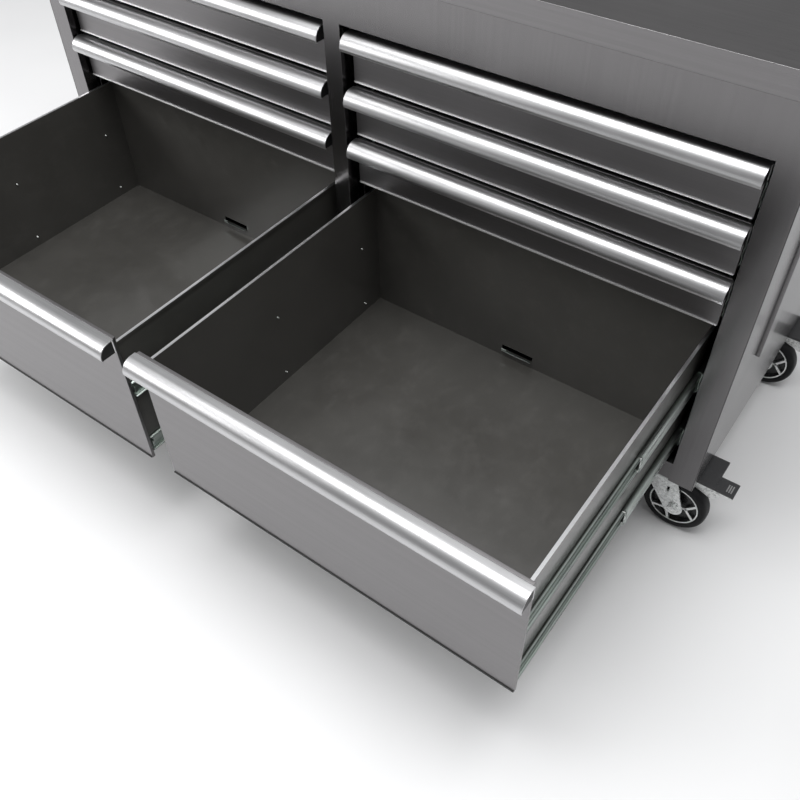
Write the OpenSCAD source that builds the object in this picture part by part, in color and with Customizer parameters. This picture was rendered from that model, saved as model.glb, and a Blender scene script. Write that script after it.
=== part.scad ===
/* [Cabinet] */
// Outside width of the cabinet
body_w = 1578; // [1250:1:1900]
// Depth from the front of the posts to the back panel
body_d = 630; // [520:1:760]
// Height of the bottom rail
bottom_rail_h = 42; // [30:1:60]
// Height of the top rail
top_rail_h = 84; // [60:1:120]
// Thickness of the worktop
worktop_t = 38; // [25:1:50]
// Width of each outer post
post_w = 47; // [38:1:60]
// Width of the centre post
centre_post_w = 35; // [30:1:50]
// Depth of the posts' folds
post_fold = 30; // [20:1:38]
// Sheet thickness of the frame and panels
sheet_t = 1.5; // [1:0.1:2.5]

/* [Drawers] */
// Rows of shallow drawers above each deep drawer
shallow_rows = 3; // [3:1:3]
// Height given to the deep row
deep_pitch = 302; // [230:1:360]
// Height given to each shallow row
shallow_pitch = 99.5; // [88:0.5:130]
// Gap between a handle's top and the face above it
reveal = 8; // [5:0.5:12]
// Gap under the deep faces
bottom_gap = 20; // [10:1:30]
// Gap above the top row
top_gap = 11.5; // [8:0.5:30]
// Gap between a face and an outer post
side_gap = 8; // [7:0.5:14]
// Gap between a face and the centre post
mid_gap = 10.5; // [10:0.5:14]
// How far the closed faces stand behind the posts
face_set_back = 19.5; // [16:0.5:28]
// Depth of the folded face
face_t = 6; // [5:0.5:14]
// Sheet thickness of the drawers
box_t = 1.2; // [0.8:0.1:2]
// How far the drawer walls stop below the top of the face
wall_drop = 19; // [17:1:30]
// Width of the folded rim on the drawer walls
rim_w = 5; // [4:0.5:5.5]
// Travel of every drawer
travel = 564; // [420:1:600]
// Room between a closed drawer and the back panel
back_room = 14; // [10:1:40]

/* [Handles] */
// Height of the drawer handles
handle_h = 27.5; // [24:0.5:34]
// How far the handles stand out from the faces
handle_d = 31.5; // [24:0.5:36]
// Wall of the handle section
handle_t = 2.2; // [1.6:0.1:3]
// How far the handles pass the ends of the faces
handle_over = 3; // [0:0.5:4]

/* [Slides] */
// Height of the slides
slide_h = 45; // [40:1:54]
// Thickness of a closed slide
slide_t = 12.7; // [12:0.1:13.5]
// Metal thickness of the slides
rail_t = 1.4; // [1.2:0.1:1.5]
// Height of the lower slides' middle above the drawer floor
slide_low_z = 24; // [23:1:40]
// Height of the deep drawers' upper slides above the drawer floor
slide_high_z = 164; // [100:1:180]

/* [Casters] */
// Diameter of the wheels
wheel_d = 127; // [100:1:153]
// Gap between the wheels and the tops of the forks
wheel_gap = 13.7; // [8:0.1:30]
// Width of the wheels
wheel_w = 32; // [25:1:40]
// Offset of the wheel behind the swivel axis
trail = 38; // [30:1:45]
// Length of the mounting plates
plate_l = 100; // [90:1:120]
// Width of the mounting plates
plate_w = 84; // [80:1:90]
// Thickness of the mounting plates
plate_t = 4; // [3:0.5:6]
// Distance of the swivel axes from the cabinet's sides
caster_x = 66; // [60:1:120]
// Distance of the front swivel axes from the front
caster_front = 47; // [44:1:90]
// Distance of the rear swivel axes from the back
caster_rear = 93; // [44:1:140]

/* [Side strip] */
// Distance of the side strip from the front of the cabinet
strip_y = 133; // [90:1:220]
// Width of the side strip
strip_w = 46; // [30:1:70]
// Height of the side strip's lower end above the floor
strip_z = 400; // [300:1:500]
// How far the side strip stands out from the side panel
strip_out = 7; // [4:0.5:14]

/* [Hidden] */
$fn = 48;
ROWS = ["deep", "lower", "middle", "upper"];
SIDES = ["left", "right"];
CORNERS = ["front_left", "front_right", "rear_left", "rear_right"];
CABINET_NODES = [
    "worktop", "front_frame", "cabinet_walls", "back_panel", "base_pan",
    "cabinet_slide_rails", "side_strip", "caster_plates"
];
PIECES = ["box", "front", "handle", "slides", "telescopes"];

// Colours
STEEL = [0.62, 0.62, 0.62];
BRIGHT = [0.82, 0.82, 0.82];
CHARCOAL = [0.20, 0.19, 0.18];
ZINC = [0.70, 0.73, 0.71];
BLACK = [0.07, 0.07, 0.07];

// Clearances
hair = 0.3;
weld = 0.05;

// Heights
race_h = 9;
crown_t = 6;
caster_h = wheel_d + wheel_gap + crown_t + race_h + hair + plate_t;
body_bottom = caster_h;
rail_top = body_bottom + bottom_rail_h;
faces_bottom = rail_top + bottom_gap;
top_rail_bottom = faces_bottom + deep_pitch + shallow_rows * shallow_pitch - reveal + top_gap;
body_top = top_rail_bottom + top_rail_h;
overall_h = body_top + worktop_t;

// Widths
half_w = body_w / 2;
face_w = (body_w - 2 * post_w - centre_post_w) / 2 - side_gap - mid_gap;
bank_x = centre_post_w / 2 + mid_gap + face_w / 2;

// Drawer box: its side walls leave room for the slides
slide_bite = 1.2;
box_w = face_w + 2 * slide_bite - 2 * slide_t;
box_front_y = face_set_back + face_t;
box_back_y = body_d - back_room;
mount_x = box_w / 2 + slide_t;

// Slides
slide_front_y = box_front_y + 6;
slide_len = box_back_y - slide_front_y - 8;
tele_front = 62;
tele_back = 10;
screw_ys = [for (share = [0.07, 0.484, 0.919]) slide_front_y + share * slide_len];
screw_r = 2;

// Lock slot in the back wall of each drawer
lock_w = 69;
lock_h = 11;
lock_z = 18;

// Casters
axle_z = wheel_d / 2;
axle_r = 5;
race_r = 31;
crown_top = caster_h - plate_t - hair - race_h;
leg_t = 3.5;
leg_gap = wheel_w / 2 + 2;
king_r = 6;
turn_gap = 0.08;
ear_y = 2;
ear_t = 3;
ear_pitch = 14;
pedal_t = 6;
pedal_top = crown_top - 2;
pedal_y = -2;
pivot_r = 2;
pivot_x = race_r + 25;
pivot_z = crown_top - crown_t - 7.7;

function row_pitch(r) = r == 0 ? deep_pitch : shallow_pitch;
function row_z(r) = faces_bottom + (r == 0 ? 0 : deep_pitch + (r - 1) * shallow_pitch);
function face_h(r) = row_pitch(r) - reveal;
function wall_h(r) = face_h(r) - wall_drop;
function slide_zs(r) = r == 0 ? [slide_low_z, slide_high_z] : [wall_h(r) / 2 - 4];
// At rest the deep drawers stand open and the shallow ones are closed
function rest_y(r) = r == 0 ? -travel : 0;
function bank(s) = s == 0 ? -1 : 1;
function caster_pos(c) = [
    (c % 2 == 0 ? -1 : 1) * (half_w - caster_x),
    c < 2 ? caster_front : body_d - caster_rear
];

module box_at(low, high) {
    translate(low)
        cube(high - low);
}

// A section drawn in X and Z, run along Y from y0 to y1
module along_y(y0, y1) {
    translate([0, y1, 0])
        rotate([90, 0, 0])
            linear_extrude(y1 - y0)
                children();
}

// A section drawn in Y and Z, run along X from x0 to x1
module along_x(x0, x1) {
    translate([x0, 0, 0])
        rotate([90, 0, 90])
            linear_extrude(x1 - x0)
                children();
}

module mirrored_pair() {
    for (m = [0, 1])
        mirror([m, 0, 0])
            children();
}

// ---- Cabinet -------------------------------------------------------------

module worktop() {
    lip = 2;
    fold = 1.6;
    color(STEEL)
        translate([0, 0, body_top])
            difference() {
                box_at([-half_w - lip, -lip, weld], [half_w + lip, body_d, worktop_t]);
                box_at(
                    [-half_w - lip + fold, -lip + fold, -1],
                    [half_w + lip - fold, body_d - fold, worktop_t - fold]
                );
            }
}

// Folded channel, open to the back
module post(x0, x1) {
    linear_extrude(body_top - body_bottom)
        polygon([
            [x0, 0], [x1, 0], [x1, post_fold], [x1 - sheet_t, post_fold],
            [x1 - sheet_t, sheet_t], [x0 + sheet_t, sheet_t],
            [x0 + sheet_t, post_fold], [x0, post_fold]
        ]);
}

// Folded rail between the posts, open to the back
module rail(z0, z1, y0) {
    along_x(-half_w + post_w - sheet_t, half_w - post_w + sheet_t)
        polygon([
            [y0, z0], [y0, z1], [post_fold, z1], [post_fold, z1 - sheet_t],
            [y0 + sheet_t, z1 - sheet_t], [y0 + sheet_t, z0 + sheet_t],
            [post_fold, z0 + sheet_t], [post_fold, z0]
        ]);
}

module front_frame() {
    skin = sheet_t + weld;
    color(STEEL) {
        translate([0, 0, body_bottom]) {
            mirrored_pair()
                post(half_w - post_w, half_w - skin);
            post(-centre_post_w / 2, centre_post_w / 2);
        }
        rail(top_rail_bottom, body_top, 0);
        rail(body_bottom, rail_top, 4);
    }
}

// Upright that carries the slides of one side of a bank, folded as a channel
module upright(y0) {
    depth = 30;
    reach = side_gap + post_w - slide_bite - sheet_t - weld - hair;
    translate([mount_x + weld, y0, rail_top + weld])
        linear_extrude(top_rail_bottom - rail_top - 2 * weld)
            polygon([
                [0, 0], [sheet_t, 0], [sheet_t, depth - sheet_t], [reach, depth - sheet_t],
                [reach, depth], [0, depth]
            ]);
}

// Upright on the centre wall
module inner_upright(y0) {
    depth = 30;
    reach = bank_x - mount_x - sheet_t / 2 - 2 * weld;
    translate([-mount_x - weld, y0, rail_top + weld])
        linear_extrude(top_rail_bottom - rail_top - 2 * weld)
            polygon([
                [0, 0], [-sheet_t, 0], [-sheet_t, depth - sheet_t], [-reach, depth - sheet_t],
                [-reach, depth], [0, depth]
            ]);
}

module cabinet_walls() {
    front_y = post_fold + 4;
    rear_y = body_d - 60;
    color(STEEL) {
        mirrored_pair()
            box_at([half_w - sheet_t, 0, body_bottom], [half_w, body_d - sheet_t - weld, body_top]);
        box_at(
            [-sheet_t / 2, post_fold + weld, body_bottom + sheet_t + weld],
            [sheet_t / 2, body_d - sheet_t - weld, body_top - weld]
        );
    }
    color(ZINC)
        mirrored_pair()
            translate([bank_x, 0, 0])
                for (y = [front_y, rear_y]) {
                    upright(y);
                    inner_upright(y);
                }
}

module back_panel() {
    color(STEEL)
        box_at([-half_w, body_d - sheet_t, body_bottom], [half_w, body_d, body_top]);
}

module base_pan() {
    color(STEEL)
        box_at(
            [-half_w + sheet_t + weld, post_fold + weld, body_bottom],
            [half_w - sheet_t - weld, body_d - sheet_t - weld, body_bottom + sheet_t]
        );
}

// The four members of the slide section, drawn with X running from the
// cabinet side of the slide (0) to the drawer (slide_t)
module channel(x_web, x_tip, h) {
    w0 = min(x_web, x_web + sign(x_tip - x_web) * rail_t);
    w1 = max(x_web, x_web + sign(x_tip - x_web) * rail_t);
    polygon([
        [x_web, -h / 2], [x_tip, -h / 2], [x_tip, -h / 2 + rail_t],
        [x_web == w0 ? w1 : w0, -h / 2 + rail_t], [x_web == w0 ? w1 : w0, h / 2 - rail_t],
        [x_tip, h / 2 - rail_t], [x_tip, h / 2], [x_web, h / 2]
    ]);
}

// Places a member on both sides of a bank, at every slide height of the row
module on_slides(s, r) {
    translate([bank(s) * bank_x, 0, row_z(r)])
        for (z = slide_zs(r))
            translate([0, 0, z])
                mirrored_pair()
                    translate([-mount_x, 0, 0])
                        children();
}

module cabinet_slide_rails() {
    color(ZINC)
        for (s = [0, 1])
            for (r = [0:3])
                on_slides(s, r)
                    along_y(slide_front_y, slide_front_y + slide_len)
                        channel(0, 0.72 * slide_t, slide_h);
}

// Low folded strip on the right side panel
module side_strip() {
    x0 = half_w + weld;
    x1 = half_w + strip_out;
    y1 = strip_y + strip_w;
    z1 = body_top - 40;
    color(STEEL)
        difference() {
            box_at([x0, strip_y, strip_z], [x1, y1, z1]);
            box_at(
                [x0 - 1, strip_y + sheet_t, strip_z + sheet_t],
                [x1 - sheet_t, y1 - sheet_t, z1 - sheet_t]
            );
        }
}

// ---- Drawers -------------------------------------------------------------

module place_drawer(s, r, share = 1) {
    translate([bank(s) * bank_x, share * rest_y(r), row_z(r)])
        children();
}

// Holes for the slide screws, through both side walls
module screw_holes(r, radius) {
    for (z = slide_zs(r))
        for (y = screw_ys)
            translate([-box_w / 2 - 1, y, z])
                rotate([0, 90, 0])
                    cylinder(r = radius, h = box_w + 2);
}

module drawer_box(s, r) {
    h = wall_h(r);
    color(CHARCOAL)
        place_drawer(s, r)
            difference() {
                union() {
                    difference() {
                        box_at([-box_w / 2, box_front_y, 0], [box_w / 2, box_back_y, h]);
                        box_at(
                            [-box_w / 2 + box_t, box_front_y + box_t, box_t],
                            [box_w / 2 - box_t, box_back_y - box_t, h + 1]
                        );
                    }
                    // Folded rims, turned outwards over the slides
                    mirrored_pair()
                        box_at(
                            [box_w / 2 - box_t, box_front_y, h - box_t],
                            [box_w / 2 + rim_w - box_t, box_back_y, h]
                        );
                    mirrored_pair()
                        box_at(
                            [box_w / 2 + rim_w - 2 * box_t, box_front_y, h - rim_w],
                            [box_w / 2 + rim_w - box_t, box_back_y, h]
                        );
                    // Lip under the lock slot
                    box_at(
                        [-lock_w / 2, box_back_y - box_t - 5, lock_z - box_t],
                        [lock_w / 2, box_back_y - box_t / 2, lock_z]
                    );
                }
                box_at(
                    [-lock_w / 2, box_back_y - box_t - 1, lock_z],
                    [lock_w / 2, box_back_y + 1, lock_z + lock_h]
                );
                screw_holes(r, screw_r + 0.25);
            }
}

// Folded face: a shallow pan open to the back
module drawer_front(s, r) {
    y0 = face_set_back;
    y1 = box_front_y - weld;
    color(STEEL)
        place_drawer(s, r)
            difference() {
                box_at([-face_w / 2, y0, 0], [face_w / 2, y1, face_h(r)]);
                box_at(
                    [-face_w / 2 + box_t, y0 + box_t, box_t],
                    [face_w / 2 - box_t, y1 + 1, face_h(r) - box_t]
                );
            }
}

// Handle section: Y runs back from the face's surface, Z down from its top
module handle_section() {
    d = handle_d;
    r = min(handle_h, handle_d) - 5.5;
    t = handle_t;
    lean = 2;
    steps = 12;
    lip_z = -handle_h + 5;
    nose = [for (i = [0:steps]) 90 + 90 * i / steps];
    polygon(concat(
        [[0, -handle_h], [0, 0]],
        [for (a = nose) [-d + r + r * cos(a), -r + r * sin(a)]],
        [[-d, lip_z], [-d + lean, -handle_h], [-d + lean + t, -handle_h], [-d + t, lip_z]],
        [for (i = [steps:-1:0]) [-d + r + (r - t) * cos(nose[i]), -r + (r - t) * sin(nose[i])]],
        [[-t, -t], [-t, -handle_h]]
    ));
}

module drawer_handle(s, r) {
    color(BRIGHT)
        place_drawer(s, r)
            translate([0, face_set_back - weld, face_h(r)])
                along_x(-face_w / 2 - handle_over, face_w / 2 + handle_over)
                    handle_section();
}

// Drawer members, with the screws that hold them to the walls
module drawer_slides(s, r) {
    screw_l = 6;
    color(ZINC)
        translate([0, rest_y(r), 0])
            on_slides(s, r) {
                along_y(slide_front_y, slide_front_y + slide_len)
                    channel(slide_t - weld, 0.42 * slide_t, slide_h - 2 * (2 * rail_t + 3));
                for (y = screw_ys)
                    translate([slide_t - rail_t - weld, y, 0])
                        rotate([0, 90, 0]) {
                            cylinder(r = screw_r, h = screw_l);
                            translate([0, 0, -1.2])
                                cylinder(r = 3.6, h = 1.3);
                        }
            }
}

// Middle members, which travel half as far as the drawer
module drawer_telescopes(s, r) {
    color(ZINC)
        translate([0, rest_y(r) / 2, 0])
            on_slides(s, r)
                along_y(slide_front_y + tele_front, slide_front_y + slide_len - tele_back)
                    channel(0.22 * slide_t, 0.84 * slide_t, slide_h - 2 * (rail_t + 1.5));
}

// ---- Casters -------------------------------------------------------------

module place_caster(c) {
    translate([caster_pos(c)[0], caster_pos(c)[1], 0])
        children();
}

module caster_plates() {
    slot_x = plate_l / 2 - 10;
    slot_y = plate_w / 2 - 10;
    color(ZINC)
        for (c = [0:3])
            place_caster(c)
                difference() {
                    translate([-plate_l / 2, -plate_w / 2, caster_h - plate_t])
                        cube([plate_l, plate_w, plate_t - weld]);
                    cylinder(r = king_r + turn_gap, h = caster_h + 1);
                    for (sx = [-1, 1])
                        for (sy = [-1, 1])
                            translate([sx * slot_x, sy * slot_y, 0])
                                cylinder(r = 4.5, h = caster_h + 1);
                }
}

// Fork leg, drawn in X and Z around the swivel axis
module leg_section() {
    tip_r = 20;
    difference() {
        union() {
            polygon([
                [-race_r + 2, crown_top - crown_t], [race_r + 2, crown_top - crown_t],
                [race_r + 6, crown_top - crown_t - 14], [trail + tip_r, axle_z],
                [trail - tip_r + 2, axle_z - 7], [-race_r + 2, crown_top - crown_t - 18]
            ]);
            translate([trail, axle_z])
                circle(r = tip_r);
        }
        translate([trail - 20, axle_z + 38])
            square([5, 14]);
    }
}

// Ear under the crown that carries the brake pedal's pin, drawn in X and Z
module ear_section() {
    ear_r = 4.4;
    crown_z = crown_top - crown_t;
    difference() {
        union() {
            polygon([
                [14, crown_z], [race_r - 2, crown_z], [race_r - 2, pivot_z + ear_r],
                [pivot_x, pivot_z + ear_r], [pivot_x, pivot_z - ear_r], [14, pivot_z - ear_r]
            ]);
            translate([pivot_x, pivot_z])
                circle(r = ear_r);
        }
        translate([pivot_x, pivot_z])
            circle(r = pivot_r + turn_gap);
    }
}

module caster_fork(c) {
    nut_r = 9;
    reach = leg_gap + leg_t;
    color(ZINC)
        place_caster(c) {
            translate([0, 0, crown_top]) {
                cylinder(r = race_r, h = race_h);
                cylinder(r = king_r, h = race_h + hair + plate_t - 0.5);
            }
            translate([-race_r + 2, -reach, crown_top - crown_t])
                cube([2 * race_r - 4, 2 * reach, crown_t]);
            along_y(leg_gap, reach)
                leg_section();
            along_y(-reach, -leg_gap)
                leg_section();
            for (y = [ear_y, ear_y + ear_pitch])
                along_y(y, y + ear_t)
                    ear_section();
            // Axle bolt with its head and nut
            translate([trail, reach + 6, axle_z])
                rotate([90, 0, 0]) {
                    cylinder(r = axle_r, h = 2 * (reach + 6));
                    for (z = [0, 2 * reach + 6])
                        translate([0, 0, z])
                            cylinder(r = nut_r, h = 6, $fn = 6);
                }
        }
}

module caster_wheel(c) {
    tread_r = 6;
    hub_r = 13;
    rim_r = wheel_d / 2 - 14;
    color(BLACK)
        place_caster(c)
            translate([trail, 0, axle_z])
                rotate([90, 0, 0])
                    rotate_extrude($fn = 72)
                        polygon([
                            [axle_r + 0.08, -leg_gap + 0.6], [hub_r, -leg_gap + 0.6],
                            [hub_r, -wheel_w / 4], [rim_r, -wheel_w / 4],
                            [rim_r, -wheel_w / 2 + 2], [wheel_d / 2 - tread_r, -wheel_w / 2],
                            [wheel_d / 2 - 1.5, -wheel_w / 2 + tread_r],
                            [wheel_d / 2, -wheel_w / 4], [wheel_d / 2, wheel_w / 4],
                            [wheel_d / 2 - 1.5, wheel_w / 2 - tread_r],
                            [wheel_d / 2 - tread_r, wheel_w / 2], [rim_r, wheel_w / 2 - 2],
                            [rim_r, wheel_w / 4], [hub_r, wheel_w / 4],
                            [hub_r, leg_gap - 0.6], [axle_r + 0.08, leg_gap - 0.6]
                        ]);
}

// Side cheek of the brake pedal, drawn in X and Z
module cheek_section() {
    z1 = pedal_top - pedal_t + 1;
    polygon([
        [pivot_x - 7, z1], [pivot_x + 52, z1], [pivot_x + 52, pivot_z - 12],
        [pivot_x + 40, pivot_z - 20], [pivot_x + 16, pivot_z - 12], [pivot_x - 7, pivot_z - 3.5]
    ]);
}

// Brake pedal: a wide cover over the wheel with a narrow foot tab, two cheeks
// under it and the pin that turns in the fork's ears
module caster_pedal(c) {
    cheek_t = 3;
    cover_x0 = race_r + 8;
    cover_x1 = trail + 58;
    tab_x1 = cover_x1 + 36;
    far_y = ear_y + ear_pitch + ear_t + 1;
    color(BLACK)
        place_caster(c) {
            box_at([cover_x0, pedal_y, pedal_top - pedal_t], [cover_x1, pedal_y + 76, pedal_top]);
            box_at([cover_x1 - 1, pedal_y, pedal_top - 9], [tab_x1, pedal_y + 36, pedal_top - 2]);
            for (y = [pedal_y, far_y])
                along_y(y, y + cheek_t)
                    cheek_section();
            along_y(pedal_y - 1.5, far_y + cheek_t + 1.5)
                translate([pivot_x, pivot_z])
                    circle(r = pivot_r);
        }
}

// ---- Assembly ------------------------------------------------------------

worktop();
front_frame();
cabinet_walls();
back_panel();
base_pan();
cabinet_slide_rails();
side_strip();
caster_plates();

for (s = [0, 1])
    for (r = [0:3]) {
        drawer_box(s, r);
        drawer_front(s, r);
        drawer_handle(s, r);
        drawer_slides(s, r);
        drawer_telescopes(s, r);
    }

for (c = [0:3]) {
    caster_fork(c);
    caster_wheel(c);
    caster_pedal(c);
}
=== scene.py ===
"""Finishes, hardware and a studio for a two-bank rolling tool chest."""

import math

import bmesh
import bpy
from mathutils import Matrix, Vector


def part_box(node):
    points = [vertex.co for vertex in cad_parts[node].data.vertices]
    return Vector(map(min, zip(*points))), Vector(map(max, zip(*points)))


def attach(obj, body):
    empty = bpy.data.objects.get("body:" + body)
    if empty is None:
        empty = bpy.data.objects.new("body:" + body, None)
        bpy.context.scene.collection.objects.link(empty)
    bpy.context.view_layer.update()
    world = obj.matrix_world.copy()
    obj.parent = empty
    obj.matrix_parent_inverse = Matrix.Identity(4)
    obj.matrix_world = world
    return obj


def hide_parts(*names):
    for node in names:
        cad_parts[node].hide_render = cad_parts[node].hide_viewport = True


bl_info = {
    "name": "Rolling tool chest finishes",
    "version": (1, 0, 0),
    "blender": (4, 5, 0),
    "location": "View3D > Sidebar > Tool chest",
    "description": "Softened sheet metal, ball slides, casters and finishes of a rolling tool chest",
    "category": "Object",
}

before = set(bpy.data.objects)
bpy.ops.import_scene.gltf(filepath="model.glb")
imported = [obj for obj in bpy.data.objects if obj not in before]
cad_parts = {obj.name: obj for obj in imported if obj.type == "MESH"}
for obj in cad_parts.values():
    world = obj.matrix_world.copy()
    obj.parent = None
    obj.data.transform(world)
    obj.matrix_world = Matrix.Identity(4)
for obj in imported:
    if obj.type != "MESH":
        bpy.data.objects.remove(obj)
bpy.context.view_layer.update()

SIDES = ("left", "right")
ROWS = ("deep", "lower", "middle", "upper")
CORNERS = ("front_left", "front_right", "rear_left", "rear_right")


def drawers():
    """Every drawer as its name and its row."""
    return [(f"{side}_{row}", row) for side in SIDES for row in ROWS]


# ---- Settings ---------------------------------------------------------------


class SheetMetalSettings(bpy.types.PropertyGroup):
    bend: bpy.props.FloatProperty(
        name="Bend radius", description="Outside radius of the folded edges", default=0.0007, unit="LENGTH"
    )
    steel: bpy.props.FloatVectorProperty(
        name="Stainless", description="Colour of the brushed stainless sheet",
        default=(0.245, 0.238, 0.242), size=3, subtype="COLOR",
    )
    grain: bpy.props.FloatProperty(
        name="Grain", description="How far the brushing lines lighten and darken the steel",
        default=0.13, subtype="FACTOR",
    )
    # Height of the strip under each drawer's face: a rolled edge, partly a painted highlight, under the
    # shallow faces, and a strip of painted shadow under the deep ones
    hem: bpy.props.FloatProperty(
        name="Rolled edge", description="Height of the rolled edge under each drawer's face",
        default=0.0030, unit="LENGTH",
    )
    handle_steel: bpy.props.FloatVectorProperty(
        name="Handle steel", description="Colour of the polished drawer handles",
        default=(0.80, 0.80, 0.81), size=3, subtype="COLOR",
    )


class DrawerSettings(bpy.types.PropertyGroup):
    paint: bpy.props.FloatVectorProperty(
        name="Drawer paint", description="Colour of the powder coat inside the drawers",
        default=(0.050, 0.048, 0.044), size=3, subtype="COLOR",
    )
    scuff: bpy.props.FloatProperty(
        name="Scuffs", description="How strongly the drawer floors are scuffed",
        default=0.5, subtype="FACTOR",
    )
    # Top band of the drawer walls in bright bare steel: partly rubbed wear, partly a painted highlight
    hem: bpy.props.FloatProperty(
        name="Bright hem", description="Depth of the rubbed edge along the tops of the drawer walls",
        default=0.0009, unit="LENGTH",
    )
    lip: bpy.props.FloatProperty(
        name="Slot lip", description="Depth of the bright lip under the lock slot",
        default=0.0062, unit="LENGTH",
    )


class SlideSettings(bpy.types.PropertyGroup):
    rim: bpy.props.FloatProperty(
        name="Rim", description="How far the drawer's folded rim passes its wall",
        default=0.0038, unit="LENGTH",
    )
    low_height: bpy.props.FloatProperty(
        name="Low slides", description="Height of the deep drawers' lower slides above the drawer floor",
        default=0.024, unit="LENGTH",
    )
    high_height: bpy.props.FloatProperty(
        name="High slides", description="Height of the deep drawers' upper slides above the drawer floor",
        default=0.164, unit="LENGTH",
    )
    drop: bpy.props.FloatProperty(
        name="Drop", description="How far the shallow drawers' slides sit below the middle of the box",
        default=0.004, unit="LENGTH",
    )
    metal: bpy.props.FloatProperty(
        name="Slide metal", description="Sheet thickness of the slide members",
        default=0.0012, unit="LENGTH",
    )
    ball: bpy.props.FloatProperty(
        name="Ball radius", description="Radius of the bearing balls", default=0.0014, unit="LENGTH"
    )
    balls: bpy.props.IntProperty(
        name="Balls", description="Balls in one row of a cage", default=10, min=2, max=40
    )
    pitch: bpy.props.FloatProperty(
        name="Ball pitch", description="Distance between two balls in a cage", default=0.0085, unit="LENGTH"
    )
    zinc: bpy.props.FloatVectorProperty(
        name="Zinc", description="Colour of the zinc plate on the slides",
        default=(0.50, 0.54, 0.52), size=3, subtype="COLOR",
    )


class CasterSettings(bpy.types.PropertyGroup):
    tyre: bpy.props.FloatVectorProperty(
        name="Tyre", description="Colour of the tyres",
        default=(0.008, 0.008, 0.009), size=3, subtype="COLOR",
    )
    spokes: bpy.props.IntProperty(
        name="Spokes", description="Forked spokes on each wheel", default=3, min=2, max=8
    )
    spoke_width: bpy.props.FloatProperty(
        name="Spoke width", description="Width of a bright spoke", default=0.0052, unit="LENGTH"
    )
    leg_reach: bpy.props.FloatProperty(
        name="Leg reach", description="Distance from the wheel's middle to a fork leg's outer face",
        default=0.0215, unit="LENGTH",
    )
    ribs: bpy.props.IntProperty(
        name="Tread ribs", description="Ribs on each pedal's tab", default=3, min=1, max=4
    )
    rib_pitch: bpy.props.FloatProperty(
        name="Tread rib pitch", description="Distance between the ribs on the pedal's tab",
        default=0.0042, unit="LENGTH",
    )


class StageSettings(bpy.types.PropertyGroup):
    floor: bpy.props.FloatVectorProperty(
        name="Floor", description="Colour of the studio floor",
        default=(0.86, 0.86, 0.865), size=3, subtype="COLOR",
    )
    overhead: bpy.props.FloatProperty(
        name="Overhead light", description="Power of the large overhead light", default=106.0, unit="POWER"
    )
    lens: bpy.props.FloatProperty(
        name="Lens", description="Focal length of the camera on a 36 mm sensor",
        default=39.13, unit="CAMERA",
    )
    eye: bpy.props.FloatVectorProperty(
        name="Camera place", description="Where the camera stands", default=(0.9423, -1.0824, 1.4405),
        size=3, subtype="TRANSLATION",
    )
    turn: bpy.props.FloatVectorProperty(
        name="Camera turn", description="Left turn, downward tilt and roll of the camera",
        default=(math.radians(37.0), math.radians(46.8), math.radians(-1.2)), size=3, subtype="EULER",
    )


# ---- Shader maths -----------------------------------------------------------


class Wire:
    """An output socket that takes part in Python arithmetic."""

    def __init__(self, finish, socket):
        self.finish = finish
        self.socket = socket

    def math(self, operation, *values):
        return self.finish.node("ShaderNodeMath", {"operation": operation}, dict(enumerate(values)))

    def __add__(self, other):
        return self.math("ADD", self, other)

    def __radd__(self, other):
        return self.math("ADD", other, self)

    def __sub__(self, other):
        return self.math("SUBTRACT", self, other)

    def __rsub__(self, other):
        return self.math("SUBTRACT", other, self)

    def __mul__(self, other):
        return self.math("MULTIPLY", self, other)

    def __rmul__(self, other):
        return self.math("MULTIPLY", other, self)


class Finish:
    """A procedural material: a Principled shader and the nodes that feed it."""

    def __init__(self, name, **fixed):
        self.material = bpy.data.materials.new(name)
        self.material.use_nodes = True
        self.tree = self.material.node_tree
        self.shader = self.tree.nodes["Principled BSDF"]
        self.place = self.node("ShaderNodeTexCoord", output="Object")
        self.feed(**fixed)

    def node(self, kind, settings=None, inputs=None, output=0):
        made = self.tree.nodes.new(kind)
        for key, value in (settings or {}).items():
            if key == "stops":
                ramp = made.color_ramp
                while len(ramp.elements) < len(value):
                    ramp.elements.new(0.5)
                for element, (position, colour) in zip(ramp.elements, value):
                    element.position = position
                    element.color = colour
            else:
                setattr(made, key, value)
        for key, value in (inputs or {}).items():
            self.join(value, made.inputs[key])
        return Wire(self, made.outputs[output])

    def join(self, value, socket):
        if isinstance(value, Wire):
            self.tree.links.new(value.socket, socket)
        elif socket.type == "RGBA" and len(value) == 3:
            socket.default_value = (*value, 1)
        else:
            socket.default_value = value

    def feed(self, **inputs):
        for key, value in inputs.items():
            self.join(value, self.shader.inputs[key.replace("_", " ")])

    def mix(self, share, first, second):
        """Colour that goes from first to second."""
        settings = {"data_type": "RGBA", "clamp_factor": True}
        return self.node("ShaderNodeMix", settings, {0: share, 6: first, 7: second}, 2)

    def noise(self, scale, detail=3.0, roughness=0.55):
        """Noise whose scale differs along X, Y and Z, in cycles per metre."""
        place = self.node("ShaderNodeVectorMath", {"operation": "MULTIPLY"}, {0: self.place, 1: scale})
        settings = {"Vector": place, "Scale": 1.0, "Detail": detail, "Roughness": roughness}
        return self.node("ShaderNodeTexNoise", None, settings)

    def spread(self, value, low, high):
        """Value stretched so that low becomes 0 and high becomes 1."""
        return self.node("ShaderNodeMapRange", None, {"Value": value, "From Min": low, "From Max": high})

    def axis(self, name):
        return self.node("ShaderNodeSeparateXYZ", None, {"Vector": self.place}, name)

    def bump(self, height, strength, distance):
        return self.node(
            "ShaderNodeBump", None, {"Strength": strength, "Distance": distance, "Height": height}, "Normal"
        )


def shade(colour, factor):
    return tuple(min(1.0, c * factor) for c in colour)


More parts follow.
